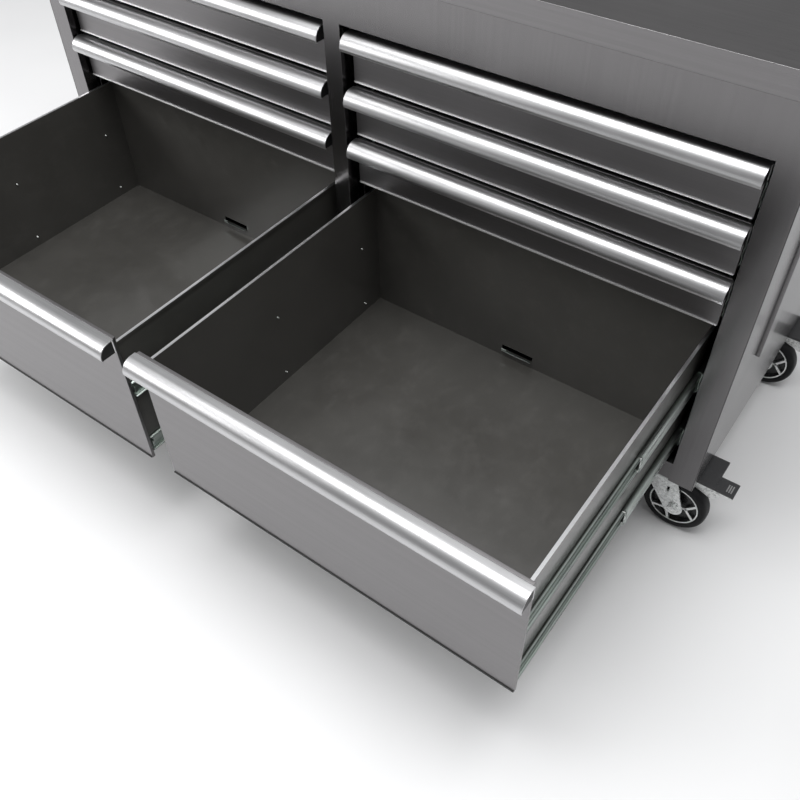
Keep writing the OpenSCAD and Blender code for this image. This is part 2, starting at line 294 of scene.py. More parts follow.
def brushed_steel(name, colour, along, grain, rough):
    """Stainless sheet brushed along X (0) or Z (2), with faint wipe marks."""
    finish = Finish(name, Metallic=1.0)
    fine = [1500.0, 1500.0, 1500.0]
    fine[along] = 9.0
    broad = [190.0, 190.0, 190.0]
    broad[along] = 0.7
    lines = finish.spread(finish.noise(fine, 4.0, 0.7), 0.30, 0.70)
    bands = finish.spread(finish.noise(broad, 3.0, 0.5), 0.3, 0.7)
    wipes = finish.spread(finish.noise((4.0, 4.0, 5.0), 4.0, 0.6), 0.35, 0.75)
    tone = lines * 0.45 + bands * 0.25 + wipes * 0.3
    finish.feed(
        Base_Color=finish.mix(tone, shade(colour, 1 - grain), shade(colour, 1 + grain)),
        Roughness=rough + 0.05 * lines + 0.05 * wipes,
        Normal=finish.bump(lines, 0.05, 0.0001),
    )
    return finish.material


def powder_coat(name, colour, scuff, hem, hem_steel_painted_highlight):
    """Semi-gloss charcoal powder coat, scuffed inside, and bare bright steel above the hem's height: partly
    rubbed wear, partly a painted highlight along the wall tops.
    """
    finish = Finish(name, Specular_IOR_Level=0.6, Coat_Roughness=0.16)
    height = finish.axis("Z")
    # Above the hem's height the coat gives way to bright bare steel: partly rubbed wear, partly a painted
    # highlight along the tops of the walls
    wear_and_highlight = height.math("GREATER_THAN", height, hem)
    peel = finish.noise((900.0, 900.0, 900.0), 2.0, 0.5)
    cloud = finish.spread(finish.noise((7.0, 7.0, 7.0), 5.0, 0.62), 0.36, 0.70)
    patches = finish.spread(finish.noise((38.0, 24.0, 38.0), 6.0, 0.7), 0.50, 0.78)
    scratches = finish.spread(finish.noise((26.0, 480.0, 40.0), 3.0, 0.6), 0.66, 0.74)
    worn = scuff * (0.30 * cloud + 0.45 * patches + 0.35 * scratches)
    painted = finish.mix(worn, colour, shade(colour, 2.1))
    finish.feed(
        Base_Color=finish.mix(wear_and_highlight, painted, hem_steel_painted_highlight),
        Metallic=wear_and_highlight,
        Coat_Weight=0.6 - 0.6 * wear_and_highlight,
        Roughness=0.34 + (0.12 * cloud + 0.10 * patches) * (1 - wear_and_highlight) - 0.06 * wear_and_highlight,
        Normal=finish.bump(peel * (1 - wear_and_highlight), 0.14, 0.0004),
    )
    return finish.material


def zinc_plate(name, colour, along, rough):
    """Drawn and zinc-plated strip with long die lines along X, Y or Z."""
    finish = Finish(name, Metallic=1.0)
    fine = [800.0, 800.0, 800.0]
    fine[along] = 5.0
    lines = finish.spread(finish.noise(fine, 3.0, 0.65), 0.34, 0.66)
    stain = finish.spread(finish.noise((17.0, 9.0, 30.0), 4.0, 0.6), 0.35, 0.70)
    metal = finish.mix(lines, shade(colour, 0.78), shade(colour, 1.20))
    finish.feed(
        Base_Color=finish.mix(0.35 * stain, metal, (colour[0] * 0.86, colour[1] * 1.02, colour[2] * 0.90)),
        Roughness=rough + 0.12 * stain + 0.05 * lines,
        Normal=finish.bump(lines, 0.12, 0.0002),
    )
    return finish.material


def cast_zinc(name, colour):
    """Pressed and plated caster steel with a crystalline, slightly pitted face."""
    finish = Finish(name, Metallic=1.0)
    crystals = finish.node("ShaderNodeTexVoronoi", None, {"Vector": finish.place, "Scale": 210.0}, "Color")
    facets = finish.spread(finish.node("ShaderNodeSeparateXYZ", None, {"Vector": crystals}, "X"), 0.0, 1.0)
    pits = finish.spread(finish.noise((170.0, 170.0, 170.0), 5.0, 0.7), 0.52, 0.66)
    metal = finish.mix(facets, shade(colour, 0.82), shade(colour, 1.12))
    finish.feed(
        Base_Color=finish.mix(0.40 * pits, metal, shade(colour, 0.5)),
        Roughness=0.17 + 0.12 * facets + 0.16 * pits,
        Normal=finish.bump(facets - pits, 0.25, 0.0004),
    )
    return finish.material


def moulded_black(name, colour, rough, peel_scale=1100.0, gloss=0.45):
    """Black rubber or plastic with a fine moulded texture and a little dust; also the black strip of
    painted shadow under the deep drawer faces.
    """
    finish = Finish(name, Specular_IOR_Level=gloss)
    peel = finish.noise((peel_scale, peel_scale, peel_scale), 2.0, 0.5)
    dust = finish.spread(finish.noise((60.0, 60.0, 60.0), 5.0, 0.65), 0.48, 0.80)
    finish.feed(
        Base_Color=finish.mix(0.22 * dust, colour, (0.06, 0.058, 0.056)),
        Roughness=rough + 0.16 * dust,
        Normal=finish.bump(peel, 0.22, 0.0004),
    )
    return finish.material


def brake_lever(name, colour, zinc, split):
    """Black coated lever whose cheeks below the height split are bare zinc."""
    finish = Finish(name)
    height = finish.axis("Z")
    bare = height.math("LESS_THAN", height, split)
    peel = finish.noise((900.0, 900.0, 900.0), 2.0, 0.5)
    pits = finish.spread(finish.noise((210.0, 210.0, 210.0), 5.0, 0.7), 0.50, 0.64)
    worn = finish.spread(finish.noise((45.0, 45.0, 45.0), 5.0, 0.65), 0.55, 0.85)
    black = finish.mix(0.5 * worn, colour, shade(colour, 3.0))
    metal = finish.mix(0.7 * pits, zinc, shade(zinc, 0.3))
    finish.feed(
        Base_Color=finish.mix(bare, black, metal),
        Metallic=bare,
        Roughness=0.38 + 0.15 * pits,
        Normal=finish.bump(peel - pits, 0.2, 0.0004),
    )
    return finish.material


# ---- Mesh work --------------------------------------------------------------


def add_piece(name, mesh, material, body, nodes=(), smooth_angle=38.0):
    """Gives a finished mesh its material and lets it ride on its body."""
    piece = bpy.data.objects.new(name, mesh)
    bpy.context.scene.collection.objects.link(piece)
    mesh.materials.clear()
    mesh.materials.append(material)
    mesh.shade_smooth()
    mesh.set_sharp_from_angle(angle=math.radians(smooth_angle))
    weighted = piece.modifiers.new("Even faces", "WEIGHTED_NORMAL")
    weighted.keep_sharp = True
    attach(piece, body)
    if nodes:
        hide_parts(*nodes)
    return piece


def softened(node, radius, segments=2):
    """A merged copy of a CAD node's mesh with its sharp edges rounded."""
    bm = bmesh.new()
    bm.from_mesh(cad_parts[node].data)
    bmesh.ops.remove_doubles(bm, verts=bm.verts, dist=2e-6)
    bmesh.ops.dissolve_limit(bm, angle_limit=math.radians(0.6), verts=bm.verts, edges=bm.edges)
    sharp = [e for e in bm.edges if len(e.link_faces) == 2 and e.calc_face_angle() > math.radians(32)]
    bmesh.ops.bevel(
        bm, geom=sharp, offset=radius, segments=segments, profile=0.5, affect="EDGES", clamp_overlap=True
    )
    mesh = bpy.data.meshes.new(node + "_softened")
    bm.to_mesh(mesh)
    bm.free()
    return mesh


def bridge(bm, first, second):
    """Faces between two closed rings of the same number of vertices."""
    for i in range(len(first)):
        j = (i + 1) % len(first)
        bm.faces.new((first[i], first[j], second[j], second[i]))


def ring(bm, radius, z, steps):
    """Circle of vertices about Z."""
    turns = [2 * math.pi * k / steps for k in range(steps)]
    return [bm.verts.new((radius * math.cos(turn), radius * math.sin(turn), z)) for turn in turns]


def mirrored(half_profile):
    """Both halves of a profile of (radius, y) that is the same on either side of Y 0."""
    return half_profile + [(r, -y) for r, y in reversed(half_profile)]


def strip_outline(path, thickness):
    """Closed outline of a bent strip that follows path."""
    half = thickness / 2
    left, right = [], []
    for i, point in enumerate(path):
        before = (point - path[i - 1]).normalized() if i else (path[1] - point).normalized()
        after = (path[i + 1] - point).normalized() if i < len(path) - 1 else before
        normal = (Vector((-before.y, before.x)) + Vector((-after.y, after.x))).normalized()
        reach = half / max(0.5, normal.dot(Vector((-after.y, after.x))))
        left.append(point + normal * reach)
        right.append(point - normal * reach)
    return left + right[::-1]


def drawn_strip(path, thickness, y0, y1, place):
    """Strip of that section, drawn along Y. place turns (u, z) into (x, z)."""
    outline = [place(p) for p in strip_outline([Vector(p) for p in path], thickness)]
    count = len(outline)
    half = count // 2
    bm = bmesh.new()
    ends = [[bm.verts.new((x, y, z)) for x, z in outline] for y in (y0, y1)]
    bridge(bm, *ends)
    for end in ends:
        for i in range(half - 1):
            bm.faces.new((end[i], end[i + 1], end[count - 2 - i], end[count - 1 - i]))
    bmesh.ops.recalc_face_normals(bm, faces=bm.faces)
    return bm


def turned(profile, centre, steps=64):
    """Solid of revolution about Y through centre. profile holds (radius, y)."""
    bm = bmesh.new()
    rings = []
    for k in range(steps):
        angle = 2 * math.pi * k / steps
        direction = Vector((math.cos(angle), 0, math.sin(angle)))
        rings.append([bm.verts.new(centre + direction * r + Vector((0, y, 0))) for r, y in profile])
    for k in range(steps):
        bridge(bm, rings[k], rings[(k + 1) % steps])
    bmesh.ops.recalc_face_normals(bm, faces=bm.faces)
    return bm


def joined(name, parts):
    """One mesh from several bmeshes, which are freed."""
    mesh = bpy.data.meshes.new(name)
    whole = bmesh.new()
    for part in parts:
        part.to_mesh(mesh)
        part.free()
        whole.from_mesh(mesh)
    whole.to_mesh(mesh)
    whole.free()
    return mesh


def end_plate(node, x0, x1, back, inset):
    """Plate that closes a folded section between x0 and x1, in front of back."""
    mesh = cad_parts[node].data
    flat = bmesh.new()
    end = min(v.co.x for v in mesh.vertices)
    spots = {(round(v.co.y, 5), round(v.co.z, 5)) for v in mesh.vertices if v.co.x < end + 0.0004}
    for y, z in spots:
        if y < back:
            flat.verts.new((x0, y, z))
    middle = sum((v.co for v in flat.verts), Vector()) / len(flat.verts)
    for v in flat.verts:
        v.co += (middle - v.co).normalized() * inset
    grown = bmesh.ops.extrude_vert_indiv(flat, verts=list(flat.verts))
    bmesh.ops.translate(flat, verts=grown["verts"], vec=(x1 - x0, 0, 0))
    bmesh.ops.convex_hull(flat, input=list(flat.verts))
    inner = [v for v in flat.verts if not v.link_faces]
    bmesh.ops.delete(flat, geom=inner, context="VERTS")
    loose = [e for e in flat.edges if not e.link_faces]
    bmesh.ops.delete(flat, geom=loose, context="EDGES")
    bmesh.ops.recalc_face_normals(flat, faces=flat.faces)
    return flat


def block(low, high, bevel=0.0005):
    """Block with rounded edges."""
    bm = bmesh.new()
    bmesh.ops.create_cube(bm, size=1.0)
    low, high = Vector(low), Vector(high)
    size = high - low
    for vert in bm.verts:
        vert.co = low + Vector((vert.co[i] + 0.5) * size[i] for i in range(3))
    bmesh.ops.bevel(
        bm, geom=bm.edges[:], offset=bevel, segments=2, profile=0.5, affect="EDGES", clamp_overlap=True
    )
    return bm


# ---- Geometry Nodes ---------------------------------------------------------


class Growth:
    """A geometry tree built link by link, with named inputs."""

    def __init__(self, name, inputs):
        self.tree = bpy.data.node_groups.new(name, "GeometryNodeTree")
        self.sockets = {}
        self.tree.interface.new_socket("Geometry", in_out="OUTPUT", socket_type="NodeSocketGeometry")
        self.tree.interface.new_socket("Geometry", in_out="INPUT", socket_type="NodeSocketGeometry")
        for label, kind in inputs.items():
            self.sockets[label] = self.tree.interface.new_socket(
                label, in_out="INPUT", socket_type=kind
            )
        self.entry = self.tree.nodes.new("NodeGroupInput").outputs

    def node(self, kind, settings=None, inputs=None, output=0):
        made = self.tree.nodes.new(kind)
        for key, value in (settings or {}).items():
            setattr(made, key, value)
        for key, value in (inputs or {}).items():
            if isinstance(value, bpy.types.NodeSocket):
                self.tree.links.new(value, made.inputs[key])
            else:
                made.inputs[key].default_value = value
        return made.outputs[output]

    def close(self, geometry):
        """Realizes what was grown, gives it its material and ends the tree."""
        solid = self.node("GeometryNodeRealizeInstances", None, {"Geometry": geometry})
        painted = self.node(
            "GeometryNodeSetMaterial", None, {"Geometry": solid, "Material": self.entry["Finish"]}
        )
        self.tree.links.new(painted, self.tree.nodes.new("NodeGroupOutput").inputs[0])
        return self

    def grow(self, points, **values):
        """Runs the tree on points and returns the result as a plain mesh."""
        seed = bpy.data.meshes.new("seed")
        seed.from_pydata([p for p, _ in points], [], [])
        facing = seed.attributes.new("facing", "FLOAT_VECTOR", "POINT")
        facing.data.foreach_set("vector", [c for _, d in points for c in d])
        holder = bpy.data.objects.new("holder", seed)
        bpy.context.scene.collection.objects.link(holder)
        modifier = holder.modifiers.new("Growth", "NODES")
        modifier.node_group = self.tree
        for label, value in values.items():
            modifier[self.sockets[label.replace("_", " ")].identifier] = value
        depsgraph = bpy.context.evaluated_depsgraph_get()
        mesh = bpy.data.meshes.new_from_object(holder.evaluated_get(depsgraph))
        bpy.data.objects.remove(holder)
        return mesh


def instancer():
    """Tree that sets one part on every point, turned to face outwards."""
    growth = Growth(
        "Hardware on points",
        {"Part": "NodeSocketObject", "Size": "NodeSocketFloat", "Finish": "NodeSocketMaterial"},
    )
    part = growth.node("GeometryNodeObjectInfo", None, {"Object": growth.entry["Part"]}, "Geometry")
    facing = growth.node(
        "GeometryNodeInputNamedAttribute", {"data_type": "FLOAT_VECTOR"}, {"Name": "facing"}
    )
    turn = growth.node("FunctionNodeAlignRotationToVector", {"axis": "Z"}, {"Vector": facing})
    placed = growth.node(
        "GeometryNodeInstanceOnPoints", None,
        {
            "Points": growth.entry["Geometry"], "Instance": part, "Rotation": turn,
            "Scale": growth.entry["Size"],
        },
    )
    return growth.close(placed)


def ball_rower():
    """Tree that runs a row of balls along Y from every point."""
    growth = Growth(
        "Ball row",
        {
            "Count": "NodeSocketInt", "Pitch": "NodeSocketFloat", "Ball radius": "NodeSocketFloat",
            "Finish": "NodeSocketMaterial",
        },
    )
    step = growth.node("ShaderNodeCombineXYZ", None, {"Y": growth.entry["Pitch"]})
    row = growth.node(
        "GeometryNodeMeshLine", {"mode": "OFFSET"}, {"Count": growth.entry["Count"], "Offset": step}
    )
    ball = growth.node(
        "GeometryNodeMeshIcoSphere", None, {"Radius": growth.entry["Ball radius"], "Subdivisions": 2}
    )
    balls = growth.node("GeometryNodeInstanceOnPoints", None, {"Points": row, "Instance": ball})
    rows = growth.node(
        "GeometryNodeInstanceOnPoints", None, {"Points": growth.entry["Geometry"], "Instance": balls}
    )
    return growth.close(rows)


def spoker():
    """Tree that turns one spoke about Y round every point."""
    growth = Growth(
        "Spokes",
        {"Spoke": "NodeSocketObject", "Spokes": "NodeSocketInt", "Finish": "NodeSocketMaterial"},
    )
    spoke = growth.node("GeometryNodeObjectInfo", None, {"Object": growth.entry["Spoke"]}, "Geometry")
    stack = growth.node(
        "GeometryNodeMeshLine", {"mode": "OFFSET"}, {"Count": growth.entry["Spokes"], "Offset": (0, 0, 0)}
    )
    index = growth.node("GeometryNodeInputIndex")
    share = growth.node("ShaderNodeMath", {"operation": "DIVIDE"}, {0: index, 1: growth.entry["Spokes"]})
    angle = growth.node("ShaderNodeMath", {"operation": "MULTIPLY"}, {0: share, 1: 2 * math.pi})
    turn = growth.node("ShaderNodeCombineXYZ", None, {"Y": angle})
    spokes = growth.node(
        "GeometryNodeInstanceOnPoints", None, {"Points": stack, "Instance": spoke, "Rotation": turn}
    )
    wheels = growth.node(
        "GeometryNodeInstanceOnPoints", None, {"Points": growth.entry["Geometry"], "Instance": spokes}
    )
    return growth.close(wheels)


def loose_part(name, bm):
    """An unlinked object that a tree sets on its points."""
    mesh = bpy.data.meshes.new(name)
    bm.to_mesh(mesh)
    bm.free()
    return bpy.data.objects.new(name, mesh)


def pan_screw():
    """Pan-head screw with a cross recess; the head's seat is at Z 0, facing +Z."""
    bm = bmesh.new()
    steps = 20
    recess_z = 0.0007
    dome = ((0.0034, 0.0), (0.0036, 0.0004), (0.0034, 0.0011), (0.0026, 0.0017), (0.0014, 0.0019))
    head = [ring(bm, radius, z, steps) for radius, z in dome]
    for low, high in zip(head, head[1:]):
        bridge(bm, low, high)
    # Every fifth corner of the recess is drawn in, which leaves a cross
    shares = [0.9 if k % 5 else 0.45 for k in range(steps)]
    recess = [
        bm.verts.new((v.co.x * share, v.co.y * share, recess_z)) for v, share in zip(head[-1], shares)
    ]
    bridge(bm, head[-1], recess)
    bm.faces.new(recess)
    bm.faces.new(head[0][::-1])
    # Threaded shank: a stack of crests and roots that narrows at its end
    turns, sides, length = 7, 10, 0.0068
    crest, root, taper = 0.0019, 0.0015, 0.6
    shank = []
    for i in range(2 * turns + 1):
        radius = (crest if i % 2 else root) * (1.0 if i < 2 * turns - 2 else taper)
        shank.append(ring(bm, radius, -length * i / (2 * turns), sides))
    for above, below in zip(shank, shank[1:]):
        bridge(bm, below, above)
    bm.faces.new(shank[0])
    bm.faces.new(shank[-1][::-1])
    bmesh.ops.recalc_face_normals(bm, faces=bm.faces)
    return bm


def hex_bolt(size, height, washer):
    """Hexagon head with a chamfered crown on a round washer, facing +Z."""
    bm = bmesh.new()
    disc = bmesh.ops.create_cone(
        bm, cap_ends=True, segments=28, radius1=size * 1.35, radius2=size * 1.32, depth=washer
    )
    bmesh.ops.translate(bm, verts=disc["verts"], vec=(0, 0, washer / 2))
    head = bmesh.ops.create_cone(bm, cap_ends=True, segments=6, radius1=size, radius2=size, depth=height)
    bmesh.ops.translate(bm, verts=head["verts"], vec=(0, 0, washer + height / 2))
    edges = list({e for v in head["verts"] for e in v.link_edges})
    bmesh.ops.bevel(
        bm, geom=edges, offset=size * 0.08, segments=2, profile=0.5, affect="EDGES", clamp_overlap=True
    )
    return bm


def forked_spoke(inner, split, outer, width, y0, y1, spread=27):
    """Spoke that leaves the hub along X and forks by spread degrees each way towards the rim."""
    bm = bmesh.new()
    half = width / 2

    def bar(start, end):
        along = (end - start).normalized()
        side = Vector((-along.y, along.x)) * half
        corners = [start - side, end - side, end + side, start + side]
        ends = [[bm.verts.new((c.x, y, c.y)) for c in corners] for y in (y0, y1)]
        bridge(bm, *ends)
        bm.faces.new(ends[0][::-1])
        bm.faces.new(ends[1])

    bar(Vector((inner, 0)), Vector((split, 0)))
    for sign in (-1, 1):
        angle = sign * math.radians(spread)
        tip = Vector((outer * math.cos(angle), outer * math.sin(angle)))
        bar(Vector((split - half, 0)), tip)
    bmesh.ops.recalc_face_normals(bm, faces=bm.faces)
    return bm


# ---- Slides -----------------------------------------------------------------

# Sections in metres: u runs from the drawer wall to the cabinet, then z
DRAWER_MEMBER = [
    (0.0073, 0.0160), (0.0062, 0.0149), (0.0050, 0.0146), (0.0038, 0.0152), (0.0026, 0.0160),
    (0.0014, 0.0156), (0.0008, 0.0142), (0.0007, 0.0100), (0.0007, 0.0),
]
MIDDLE_MEMBER = [
    (0.0024, 0.0180), (0.0033, 0.0188), (0.0052, 0.0192), (0.0072, 0.0190), (0.0087, 0.0182),
    (0.0094, 0.0166), (0.0094, 0.0070), (0.0085, 0.0055), (0.0085, 0.0),
]
CABINET_MEMBER = [
    (0.0038, 0.0208), (0.0048, 0.0217), (0.0075, 0.0219), (0.0100, 0.0217), (0.0115, 0.0206),
    (0.0120, 0.0190), (0.0120, 0.0100), (0.0111, 0.0085), (0.0111, 0.0),
]


# Spans of the small parts on a slide, from the drawer wall towards the cabinet
STOP_SPAN = (0.0012, 0.0068)
CLIP_SPAN = (0.0028, 0.0082)
TONGUE_SPAN = (0.0078, 0.0086)

# Rows of balls: distance from the wall, from the member's front end and from the slide's middle
RACE_REACH = 0.0051
RACE_START = 0.016
RACE_HEIGHT = 0.01685

# Screws: the seat's distance from the wall, and their places along the member
SCREW_SEAT = 0.0014
SCREW_SHARES = (0.07, 0.484, 0.919)


def whole_section(half_section):
    return half_section + [(u, -z) for u, z in half_section[-2::-1]]


def chest():
    return bpy.context.scene.tool_chest


def slide_spots(name, row):
    """Each slide of a drawer as its wall's X, the side it faces and its height."""
    slides = chest().slides
    low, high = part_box(name + "_box")
    middle = (low.x + high.x) / 2
    reach = (high.x - low.x) / 2 - slides.rim
    if row == "deep":
        heights = [low.z + slides.low_height, low.z + slides.high_height]
    else:
        heights = [(low.z + high.z) / 2 - slides.drop]
    return [(middle + side * reach, side, z) for side in (-1, 1) for z in heights]


def slide_strip(section, spot, y0, y1):
    """One member of a slide between y0 and y1."""
    wall, side, height = spot
    return drawn_strip(
        whole_section(section), chest().slides.metal, y0, y1, lambda p: (wall + side * p.x, height + p.y)
    )


def slide_block(spot, across, y0, y1, low, high, bevel=0.0005):
    """Block on a slide: across its width, between y0 and y1, and from low to high of its middle."""
    wall, side, height = spot
    near, far = sorted(wall + side * u for u in across)
    return block((near, y0, height + low), (far, y1, height + high), bevel)


def drawer_stop(spot, front):
    """Bent tab at the front end of a drawer member."""
    return slide_block(spot, STOP_SPAN, front, front + 0.0045, -0.0070, 0.0070)


def cage_clip(spot, front):
    """Two jaws and the tongue between them, on the front end of a ball cage."""
    outer, inner = 0.0169, 0.0110
    start = front - 0.0022
    return [
        slide_block(spot, CLIP_SPAN, start, front + 0.0120, -outer, -inner, 0.0008),
        slide_block(spot, CLIP_SPAN, start, front + 0.0120, inner, outer, 0.0008),
        slide_block(spot, TONGUE_SPAN, start, front + 0.0240, -0.0125, 0.0125, 0.0002),
    ]


# ---- Operators --------------------------------------------------------------


class ChestOperator:
    """What every step of the build shares."""

    bl_options = {"REGISTER"}

    def execute(self, context):
        self.build(context.scene.tool_chest)
        return {"FINISHED"}


class TOOLCHEST_OT_shell(ChestOperator, bpy.types.Operator):
    """Round the folds of the cabinet's sheet metal and give it its brushed steel"""

    bl_idname = "toolchest.shell"
    bl_label = "Cabinet shell"

    def build(self, chest):
        sheet = chest.sheet
        # The uprights and the cabinet's side walls use the level parts' stainless, painted darker: painted
        # shade
        shaded_upright = brushed_steel("stainless_upright_painted_shade", shade(sheet.steel, 0.84), 2, sheet.grain, 0.20)
        level = brushed_steel("stainless_level", sheet.steel, 0, sheet.grain, 0.26)
        panel = brushed_steel("stainless_panel_painted_shade", shade(sheet.steel, 0.66), 2, sheet.grain * 0.6, 0.18)
        finishes = {
            "worktop": level,
            "front_frame": shaded_upright,
            "cabinet_walls": panel,
            "back_panel": shaded_upright,
            "base_pan": level,
            "side_strip": shaded_upright,
        }
        for node, finish in finishes.items():
            add_piece(node + "_folded", softened(node, sheet.bend), finish, "cabinet", [node])


def lock_lip(low, high, depth):
    """Lip under the lock slot in the back wall of the box from low to high, with the ear at its left."""
    sheet, half_width, lip_height = 0.0012, 0.033, 0.0172
    ear_width, ear_height = 0.011, 0.0070
    left = (low.x + high.x) / 2 - half_width
    back = high.y - sheet
    front = back - depth
    z = low.z + lip_height
    tab = block((left, front, z), (left + 2 * half_width, back, z + sheet))
    ear = block((left, front, z + 0.0008), (left + ear_width, front + sheet, z + ear_height))
    return [tab, ear]


class TOOLCHEST_OT_drawer_boxes(ChestOperator, bpy.types.Operator):
    """Give each drawer box its charcoal powder coat, its bright hem that is partly rubbed wear and partly a
    painted highlight, and its lock slot's lip
    """

    bl_idname = "toolchest.drawer_boxes"
    bl_label = "Drawer boxes"

    def build(self, chest):
        sizes = chest.drawers
        zinc = zinc_plate("lip_zinc", chest.slides.zinc, 0, 0.25)
        # Steel brighter than the handles for the wall tops: partly a painted highlight
        hem_steel_painted_highlight = shade(chest.sheet.handle_steel, 1.1)
        paints = {}
        for name, row in drawers():
            node = name + "_box"
            low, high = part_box(node)
            if row not in paints:
                paints[row] = powder_coat(
                    "charcoal_coat_" + row, sizes.paint, sizes.scuff, high.z - sizes.hem, hem_steel_painted_highlight
                )
            mesh = softened(node, chest.sheet.bend * 0.6)
            add_piece(name + "_painted_box", mesh, paints[row], name + "_drawer", [node])
            lip = joined(name + "_lock_lip", lock_lip(low, high, sizes.lip))
            add_piece(name + "_lock_lip", lip, zinc, name + "_drawer")


class TOOLCHEST_OT_drawer_faces(ChestOperator, bpy.types.Operator):
    """Round the folded faces and brush them from side to side; give the shallow faces a rolled lower edge
    in brighter steel, partly a painted highlight, and the deep faces a black strip of painted shadow
    """

    bl_idname = "toolchest.drawer_faces"
    bl_label = "Drawer faces"

    def build(self, chest):
        sheet = chest.sheet
        steel = brushed_steel("stainless_face", shade(sheet.steel, 0.92), 0, sheet.grain, 0.36)
        # Black strip under each deep face: painted shadow along its bottom edge
        dark = moulded_black("painted_hem_shadow", (0.014, 0.014, 0.014), 0.45)
        # Rolled lower edge of the shallow faces, in steel brighter than the faces: partly a painted
        # highlight
        bright = brushed_steel("hem_steel_painted_highlight", shade(sheet.handle_steel, 1.15), 0, 0.10, 0.42)
        inset, proud, sunk, roll = 0.0006, 0.0022, 0.0012, 0.0011
        for name, row in drawers():
            body = name + "_drawer"
            mesh = softened(name + "_front", sheet.bend, 3)
            add_piece(name + "_folded_face", mesh, steel, body, [name + "_front"])
            low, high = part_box(name + "_front")
            edge = block(
                (low.x + inset, low.y - proud, low.z),
                (high.x - inset, low.y + sunk, low.z + sheet.hem),
                roll,
            )
            hem = joined(name + "_face_hem", [edge])
            # The deep faces get the strip of painted shadow, the others the rolled edge with its painted
            # highlight
            add_piece(
                name + "_face_hem", hem, dark if row == "deep" else bright, body
            )


class TOOLCHEST_OT_handles(ChestOperator, bpy.types.Operator):
    """Polish the full-width pulls and round their ends"""

    bl_idname = "toolchest.handles"
    bl_label = "Drawer handles"

    def build(self, chest):
        steel = brushed_steel("handle_steel", shade(chest.sheet.handle_steel, 0.68), 0, 0.24, 0.31)
        dark = moulded_black("handle_end_black", (0.012, 0.012, 0.012), 0.5)
        recess, plate, clearance, rim = 0.0010, 0.0016, 0.0003, 0.0012
        for name, _ in drawers():
            node = name + "_handle"
            body = name + "_drawer"
            mesh = softened(node, 0.0005)
            add_piece(name + "_polished_handle", mesh, steel, body, [node])
            low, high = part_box(node)
            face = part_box(name + "_front")[0].y - clearance
            plates = [
                end_plate(node, x, x + plate, face, rim)
                for x in (low.x + recess, high.x - recess - plate)
            ]
            mesh = joined(name + "_handle_ends", plates)
            add_piece(name + "_handle_ends", mesh, dark, body)


class TOOLCHEST_OT_slides(ChestOperator, bpy.types.Operator):
    """Roll the three members of every ball slide with their end clips"""

    bl_idname = "toolchest.slides"
    bl_label = "Ball slides"

    def build(self, chest):
        zinc = zinc_plate("slide_zinc", chest.slides.zinc, 1, 0.24)
        clip = cast_zinc("clip_zinc", (0.92, 0.93, 0.92))
        rail_low, rail_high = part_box("cabinet_slide_rails")
        rails = []
        for name, row in drawers():
            spots = slide_spots(name, row)
            low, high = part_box(name + "_slides")
            strips = [slide_strip(DRAWER_MEMBER, spot, low.y, high.y) for spot in spots]
            stops = [drawer_stop(spot, low.y) for spot in spots]
            mesh = joined(name + "_drawer_members", strips + stops)
            add_piece(
                name + "_drawer_members", mesh, zinc, name + "_drawer", [name + "_slides"]
            )
            body = name + "_middle_members"
            low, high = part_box(name + "_telescopes")
            strips = [slide_strip(MIDDLE_MEMBER, spot, low.y, high.y) for spot in spots]
            mesh = joined(name + "_middle_member_pair", strips)
            add_piece(name + "_middle_member_pair", mesh, zinc, body, [name + "_telescopes"])
            clips = [piece for spot in spots for piece in cage_clip(spot, low.y)]
            mesh = joined(name + "_cage_clips", clips)
            add_piece(name + "_cage_clips", mesh, clip, body)
            rails += [slide_strip(CABINET_MEMBER, spot, rail_low.y, rail_high.y) for spot in spots]
        mesh = joined("cabinet_members", rails)
        add_piece("cabinet_members", mesh, zinc, "cabinet", ["cabinet_slide_rails"])


class TOOLCHEST_OT_balls(ChestOperator, bpy.types.Operator):
    """Run the bearing balls along both races of every middle member"""

    bl_idname = "toolchest.balls"
    bl_label = "Bearing balls"

    def build(self, chest):
        slides = chest.slides
        steel = zinc_plate("ball_steel", (0.78, 0.78, 0.79), 1, 0.12)
        rower = ball_rower()
        for name, row in drawers():
            low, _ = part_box(name + "_telescopes")
            points = [
                ((wall + side * RACE_REACH, low.y + RACE_START, z + sign * RACE_HEIGHT), (0.0, 0.0, 1.0))
                for wall, side, z in slide_spots(name, row)
                for sign in (-1, 1)
            ]
            mesh = rower.grow(
                points, Count=slides.balls, Pitch=slides.pitch, Ball_radius=slides.ball, Finish=steel
            )
            body = name + "_middle_members"
            add_piece(name + "_bearing_balls", mesh, steel, body, smooth_angle=80)


class TOOLCHEST_OT_screws(ChestOperator, bpy.types.Operator):
    """Drive the screws that hold the slides to the drawer walls"""

    bl_idname = "toolchest.screws"
    bl_label = "Slide screws"

    def build(self, chest):
        steel = zinc_plate("screw_zinc", (0.76, 0.77, 0.76), 2, 0.22)
        part = loose_part("pan_screw", pan_screw())
        setter = instancer()
        for name, row in drawers():
            low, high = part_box(name + "_slides")
            length = high.y - low.y
            points = [
                ((wall + side * SCREW_SEAT, low.y + share * length, z), (float(side), 0.0, 0.0))
                for wall, side, z in slide_spots(name, row)
                for share in SCREW_SHARES
            ]
            mesh = setter.grow(points, Part=part, Size=1.0, Finish=steel)
            add_piece(name + "_screws", mesh, steel, name + "_drawer")
        bpy.data.objects.remove(part)


def axle(corner):
    """The middle of a caster's axle."""
    low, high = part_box("caster_wheel_" + corner)
    return (low + high) / 2


